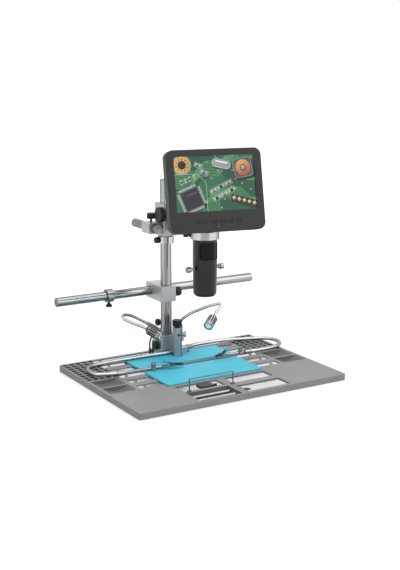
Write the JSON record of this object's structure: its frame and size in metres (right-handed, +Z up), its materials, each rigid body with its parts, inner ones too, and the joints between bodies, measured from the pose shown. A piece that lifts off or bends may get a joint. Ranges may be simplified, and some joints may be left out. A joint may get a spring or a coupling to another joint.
{
  "type": "lcd digital microscope",
  "caption": "Desktop digital microscope with a tilting screen on a ring-held barrel, a column stand with a cross boom, bench lamps, bendable clip arms and a wide soldering base.",
  "frame": {"origin": "middle of the base's underside, on the table", "axes": "+X right along the base, +Y to the back, +Z up"},
  "size_m": [0.4125, 0.342, 0.3985],
  "materials": {
    "base_grey": "fine sprayed texture",
    "rubber_black": "matte",
    "polished_steel": "polished",
    "screw_steel": "satin",
    "mat_blue": "matte silicone",
    "satin_alloy": "satin anodised",
    "knob_black": "satin moulded",
    "chrome_tube": "polished",
    "lead_black": "matte",
    "neck_steel": "ribbed",
    "lamp_chrome": "polished",
    "jaw_black": "satin",
    "barrel_black": "satin",
    "inner_black": "matte",
    "board_green": "matte",
    "screen_grey": "soft gloss",
    "display_glass": "gloss",
    "button_black": "satin"
  },
  "bodies": {
    "stand": {"base_left_half": "base_grey", "base_right_half": "base_grey", "base_feet": "rubber_black", "cross_rails": "polished_steel", "rail_screws": "screw_steel", "tray_plates": "polished_steel", "tray_tools": "screw_steel", "back_mat": "mat_blue", "front_mat": "mat_blue", "socket_block": "satin_alloy", "column_tube": "chrome_tube", "front_post": "chrome_tube", "lamp_bracket": "satin_alloy", "lamp_leads": "lead_black", "lamp_necks": "neck_steel", "lamp_heads": "lamp_chrome", "arm_hub": "satin_alloy", "left_flex_arm": "chrome_tube", "right_flex_arm": "chrome_tube", "clip_rods": "screw_steel"},
    "focus_carrier": {"focus_slide": "satin_alloy"},
    "screen": {"screen_bezel": "screen_grey", "screen_back": "screen_grey", "screen_inside": "display_glass", "screen_bracket": "barrel_black"},
    "microscope": {"barrel": "barrel_black", "camera_boards": "board_green"},
    "carriage_body": {"carriage": "satin_alloy"},
    "clamp_body": {"boom_clamp": "satin_alloy"},
    "socket_knob_body": {"socket_knob": "knob_black"},
    "post_knob_body": {"post_knob": "knob_black"},
    "post_thumb_screw_body": {"post_thumb_screw": "chrome_tube"},
    "bracket_knob_body": {"bracket_knob": "knob_black"},
    "left_clip_screw_body": {"left_clip_screw": "screw_steel"},
    "right_clip_screw_body": {"right_clip_screw": "screw_steel"},
    "left_clip_jaw_body": {"left_clip_jaw": "jaw_black"},
    "right_clip_jaw_body": {"right_clip_jaw": "jaw_black"},
    "wire_rest_body": {"wire_rest": "chrome_tube"},
    "boom_clamp_knob_body": {"boom_clamp_knob": "knob_black"},
    "boom_bar_body": {"boom_bar": "chrome_tube"},
    "boom_collar_body": {"boom_collar": "chrome_tube"},
    "boom_collar_knob_body": {"boom_collar_knob": "knob_black"},
    "stop_collar_body": {"stop_collar": "chrome_tube"},
    "stop_collar_knob_body": {"stop_collar_knob": "knob_black"},
    "carriage_lock_knob_body": {"carriage_lock_knob": "knob_black"},
    "side_rod_body": {"side_rod": "satin_alloy"},
    "side_rod_knob_body": {"side_rod_knob": "knob_black"},
    "focus_knobs_body": {"focus_knobs": "knob_black"},
    "ring_screw_body": {"ring_screw": "knob_black"},
    "focus_wheel_body": {"focus_wheel": "rubber_black"},
    "lens_cell_body": {"lens_cell": "inner_black"},
    "lens_lock_left_body": {"lens_lock_left": "chrome_tube"},
    "lens_lock_right_body": {"lens_lock_right": "chrome_tube"},
    "swivel_neck_body": {"swivel_neck": "barrel_black"},
    "button_1_body": {"button_1": "button_black"},
    "button_2_body": {"button_2": "button_black"},
    "button_3_body": {"button_3": "button_black"},
    "button_4_body": {"button_4": "button_black"},
    "button_5_body": {"button_5": "button_black"},
    "button_6_body": {"button_6": "button_black"}
  },
  "joints": [
    {"name": "socket_knob_turn", "type": "hinge", "parent": "stand", "child": "socket_knob_body", "pos_m": [-0.018, 0.122, 0.029], "axis": [-1, 0, 0], "range_deg": [-180, 180]},
    {"name": "post_knob_turn", "type": "hinge", "parent": "stand", "child": "post_knob_body", "pos_m": [0.004, 0.088, 0.072], "axis": [0, 0, 1], "range_deg": [-180, 180]},
    {"name": "post_thumb_screw_turn", "type": "hinge", "parent": "stand", "child": "post_thumb_screw_body", "pos_m": [0.004, 0.088, 0.054], "axis": [0.8192, -0.5736, 0], "range_deg": [-180, 180]},
    {"name": "bracket_knob_turn", "type": "hinge", "parent": "stand", "child": "bracket_knob_body", "pos_m": [0, 0.1395, 0.066], "axis": [-1, 0, 0], "range_deg": [-180, 180]},
    {"name": "left_clip_screw_turn", "type": "hinge", "parent": "stand", "child": "left_clip_screw_body", "pos_m": [-0.078, 0.0277, 0.024], "axis": [0, 0, 1], "range_deg": [-180, 180]},
    {"name": "right_clip_screw_turn", "type": "hinge", "parent": "stand", "child": "right_clip_screw_body", "pos_m": [0.103, 0.0324, 0.024], "axis": [0, 0, 1], "range_deg": [-180, 180]},
    {"name": "left_clip_jaw_open", "type": "hinge", "parent": "stand", "child": "left_clip_jaw_body", "pos_m": [-0.043, 0.02235, 0.0222], "axis": [-0.1987, -0.9801, 0], "range_deg": [0, 8], "stiffness_Nm_per_rad": 0.05, "springref_deg": -11.46},
    {"name": "right_clip_jaw_open", "type": "hinge", "parent": "stand", "child": "right_clip_jaw_body", "pos_m": [0.061, 0.0297, 0.0222], "axis": [-0.1293, 0.9916, 0], "range_deg": [0, 8], "stiffness_Nm_per_rad": 0.05, "springref_deg": -11.46},
    {"name": "wire_rest_fold", "type": "hinge", "parent": "stand", "child": "wire_rest_body", "pos_m": [-0.038, -0.097, 0.0128], "axis": [1, 0, 0], "range_deg": [0, 90]},
    {"name": "boom_clamp_height", "type": "slide", "parent": "stand", "child": "clamp_body", "axis": [0, 0, 1], "range_m": [-0.036, 0.07]},
    {"name": "boom_clamp_knob_turn", "type": "hinge", "parent": "clamp_body", "child": "boom_clamp_knob_body", "pos_m": [0.012, 0.114, 0.126], "axis": [1, 0, 0], "range_deg": [-180, 180]},
    {"name": "boom_reach", "type": "slide", "parent": "clamp_body", "child": "boom_bar_body", "axis": [1, 0, 0], "range_m": [-0.04, 0.04]},
    {"name": "boom_collar_slide", "type": "slide", "parent": "boom_bar_body", "child": "boom_collar_body", "axis": [1, 0, 0], "range_m": [-0.08, 0.03]},
    {"name": "boom_collar_knob_turn", "type": "hinge", "parent": "boom_collar_body", "child": "boom_collar_knob_body", "pos_m": [-0.1, 0.15, 0.11], "axis": [0, 0, 1], "range_deg": [-180, 180]},
    {"name": "stop_collar_height", "type": "slide", "parent": "stand", "child": "stop_collar_body", "axis": [0, 0, 1], "range_m": [-0.06, 0]},
    {"name": "stop_collar_knob_turn", "type": "hinge", "parent": "stop_collar_body", "child": "stop_collar_knob_body", "pos_m": [-0.016, 0.12, 0.222], "axis": [-1, 0, 0], "range_deg": [-180, 180]},
    {"name": "carriage_height", "type": "slide", "parent": "stand", "child": "carriage_body", "axis": [0, 0, 1], "range_m": [0, 0.035]},
    {"name": "carriage_lock_knob_turn", "type": "hinge", "parent": "carriage_body", "child": "carriage_lock_knob_body", "pos_m": [0, 0.136, 0.262], "axis": [0, 1, 0], "range_deg": [-180, 180]},
    {"name": "side_rod_reach", "type": "slide", "parent": "carriage_body", "child": "side_rod_body", "axis": [0, 1, 0], "range_m": [-0.03, 0.03]},
    {"name": "side_rod_knob_turn", "type": "hinge", "parent": "carriage_body", "child": "side_rod_knob_body", "pos_m": [-0.024, 0.13, 0.26], "axis": [0, 0, 1], "range_deg": [-180, 180]},
    {"name": "focus_turn", "type": "hinge", "parent": "carriage_body", "child": "focus_knobs_body", "pos_m": [0, 0.1074, 0.269], "axis": [1, 0, 0], "range_deg": [-146.5, 146.5]},
    {"name": "focus_travel", "type": "slide", "parent": "carriage_body", "child": "focus_carrier", "axis": [0, 0, 1], "range_m": [-0.012, 0.012]},
    {"name": "ring_screw_turn", "type": "hinge", "parent": "focus_carrier", "child": "ring_screw_body", "pos_m": [0, -0.014, 0.25], "axis": [-0.7071, 0.7071, 0], "range_deg": [-180, 180]},
    {"name": "barrel_turn", "type": "hinge", "parent": "focus_carrier", "child": "microscope", "pos_m": [0, -0.014, 0.25], "axis": [0, 0, 1], "range_deg": [-45, 45]},
    {"name": "focus_wheel_turn", "type": "hinge", "parent": "microscope", "child": "focus_wheel_body", "pos_m": [0, -0.014, 0.226], "axis": [0, 0, 1], "range_deg": [-229.5, 172]},
    {"name": "lens_travel", "type": "slide", "parent": "microscope", "child": "lens_cell_body", "axis": [0, 0, 1], "range_m": [-0.008, 0.006]},
    {"name": "lens_lock_left_turn", "type": "hinge", "parent": "microscope", "child": "lens_lock_left_body", "pos_m": [-0.018, -0.014, 0.194], "axis": [-1, 0, 0], "range_deg": [-180, 180]},
    {"name": "lens_lock_right_turn", "type": "hinge", "parent": "microscope", "child": "lens_lock_right_body", "pos_m": [0.018, -0.014, 0.194], "axis": [1, 0, 0], "range_deg": [-180, 180]},
    {"name": "screen_swivel", "type": "hinge", "parent": "microscope", "child": "swivel_neck_body", "pos_m": [0, -0.014, 0.29], "axis": [0, 0, 1], "range_deg": [-60, 60]},
    {"name": "screen_tilt", "type": "hinge", "parent": "swivel_neck_body", "child": "screen", "pos_m": [-0.00333, -0.02965, 0.312], "axis": [0.9781, -0.2079, 0], "range_deg": [-45, 22]},
    {"name": "button_1_press", "type": "slide", "parent": "screen", "child": "button_1_body", "axis": [0.2025, 0.9527, -0.2267], "range_m": [0, 0.001], "stiffness_N_per_m": 400, "springref_m": -0.0003},
    {"name": "button_2_press", "type": "slide", "parent": "screen", "child": "button_2_body", "axis": [0.2025, 0.9527, -0.2267], "range_m": [0, 0.001], "stiffness_N_per_m": 400, "springref_m": -0.0003},
    {"name": "button_3_press", "type": "slide", "parent": "screen", "child": "button_3_body", "axis": [0.2025, 0.9527, -0.2267], "range_m": [0, 0.001], "stiffness_N_per_m": 400, "springref_m": -0.0003},
    {"name": "button_4_press", "type": "slide", "parent": "screen", "child": "button_4_body", "axis": [0.2025, 0.9527, -0.2267], "range_m": [0, 0.001], "stiffness_N_per_m": 400, "springref_m": -0.0003},
    {"name": "button_5_press", "type": "slide", "parent": "screen", "child": "button_5_body", "axis": [0.2025, 0.9527, -0.2267], "range_m": [0, 0.001], "stiffness_N_per_m": 400, "springref_m": -0.0003},
    {"name": "button_6_press", "type": "slide", "parent": "screen", "child": "button_6_body", "axis": [0.2025, 0.9527, -0.2267], "range_m": [0, 0.001], "stiffness_N_per_m": 400, "springref_m": -0.0003}
  ],
  "couplings": [
    {"joint": "focus_turn", "follows": "focus_travel", "rad_per_m": -212.77},
    {"joint": "focus_wheel_turn", "follows": "lens_travel", "rad_per_m": 500}
  ]
}
